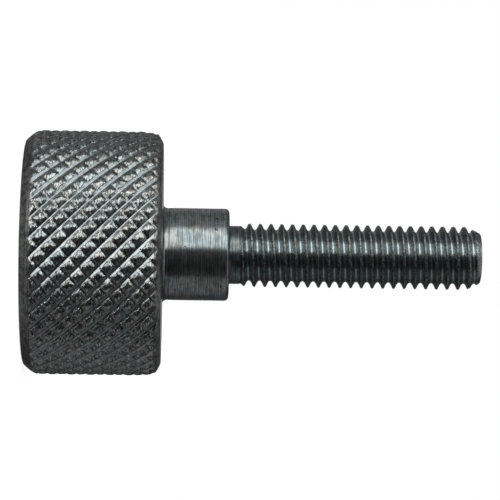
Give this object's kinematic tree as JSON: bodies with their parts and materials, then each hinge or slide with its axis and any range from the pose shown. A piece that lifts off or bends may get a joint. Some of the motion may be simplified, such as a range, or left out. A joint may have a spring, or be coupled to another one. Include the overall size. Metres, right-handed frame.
{
  "type": "knurled lock knob",
  "caption": "Knurled lock knob: a cylindrical head with a diamond knurl, a plain round collar and a long metric threaded stud, turned from one piece of dark plated steel.",
  "frame": {"origin": "centre of the head's flat outer end, which is the face the knob stands on", "axes": "+Z along the knob's own axis, from the head through the collar to the tip of the stud; X and Y are any two directions across it"},
  "size_m": [0.0228, 0.0228, 0.0423],
  "materials": {
    "plated_steel": "turned and knurled steel with a thin dark blue-grey plating, bright where edges and ridges catch the light"
  },
  "bodies": {
    "root": {"lock_knob": "plated_steel"}
  },
  "joints": []
}
